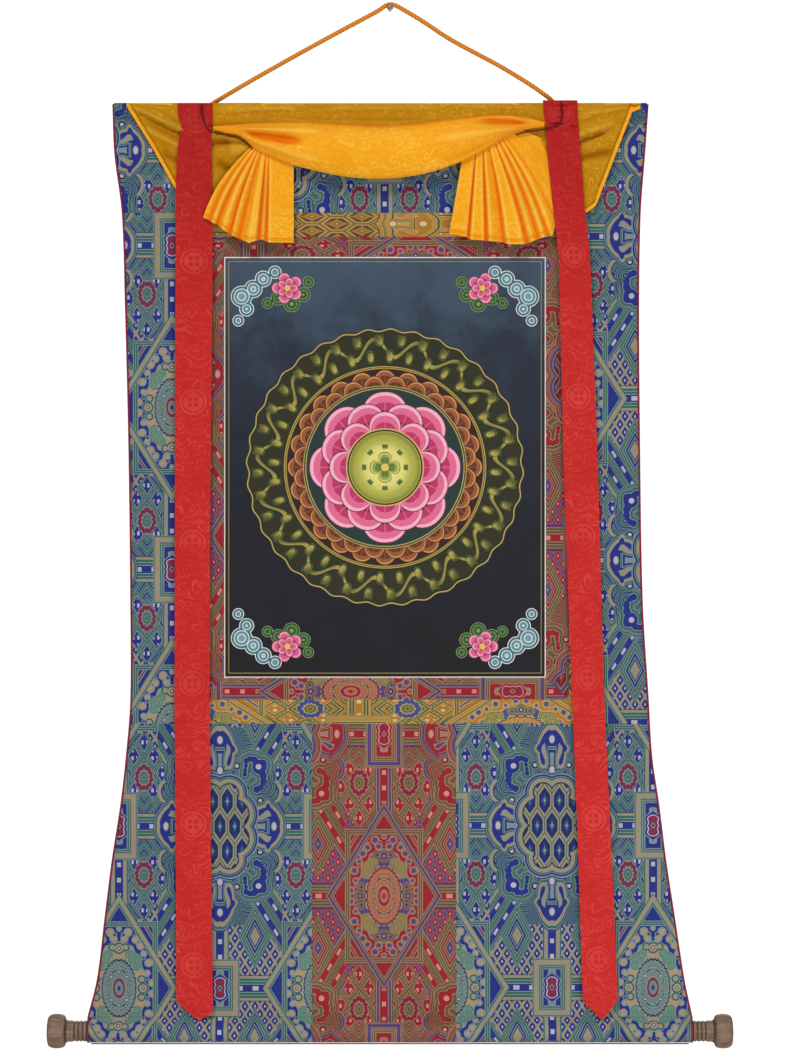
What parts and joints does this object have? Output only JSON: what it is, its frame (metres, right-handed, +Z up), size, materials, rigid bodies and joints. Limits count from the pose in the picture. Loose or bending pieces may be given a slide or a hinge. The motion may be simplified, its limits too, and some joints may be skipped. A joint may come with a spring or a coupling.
{
  "type": "thangka scroll painting with wall nail",
  "caption": "Hanging scroll with a painted canvas in brocade borders, a gathered silk cover, red streamers and a wooden dowel with turned knobs, hung by a cord from a nail.",
  "frame": {"origin": "centre of the flat root of the nail, on the wall plane", "axes": "+Z up along the hanging, +X to the viewer's right, +Y into the wall, so the painted side faces -Y"},
  "size_m": [0.8212, 0.0451, 1.2562],
  "materials": {
    "blue_brocade": "woven brocade, satin figure on a matt ground",
    "red_brocade": "woven brocade, satin figure on a matt ground",
    "yellow_brocade": "woven brocade, satin figure on a matt ground",
    "painted_canvas": "matt paint on primed cotton",
    "yellow_silk": "damask silk with a soft sheen",
    "red_silk": "damask silk with a soft sheen",
    "piping": "twisted thread",
    "tie_cord": "twisted thread",
    "orange_cord": "twisted cotton",
    "turned_wood": "turned, dry, lightly stained",
    "nail_steel": "plain steel, slightly dulled"
  },
  "bodies": {
    "root": {"blue_top": "blue_brocade", "blue_left": "blue_brocade", "blue_right": "blue_brocade", "blue_lower_left": "blue_brocade", "blue_lower_right": "blue_brocade", "red_door": "red_brocade", "red_top": "red_brocade", "red_bottom": "red_brocade", "red_left": "red_brocade", "red_right": "red_brocade", "yellow_top": "yellow_brocade", "yellow_bottom": "yellow_brocade", "yellow_left": "yellow_brocade", "yellow_right": "yellow_brocade", "canvas": "painted_canvas", "cover": "yellow_silk", "streamer_left": "red_silk", "streamer_right": "red_silk", "tie_left": "tie_cord", "tie_right": "tie_cord", "piping_left": "piping", "piping_right": "piping", "piping_bottom": "piping", "hanging_cord": "orange_cord", "dowel": "turned_wood", "knob_left": "turned_wood", "knob_right": "turned_wood", "nail": "nail_steel"}
  },
  "joints": []
}
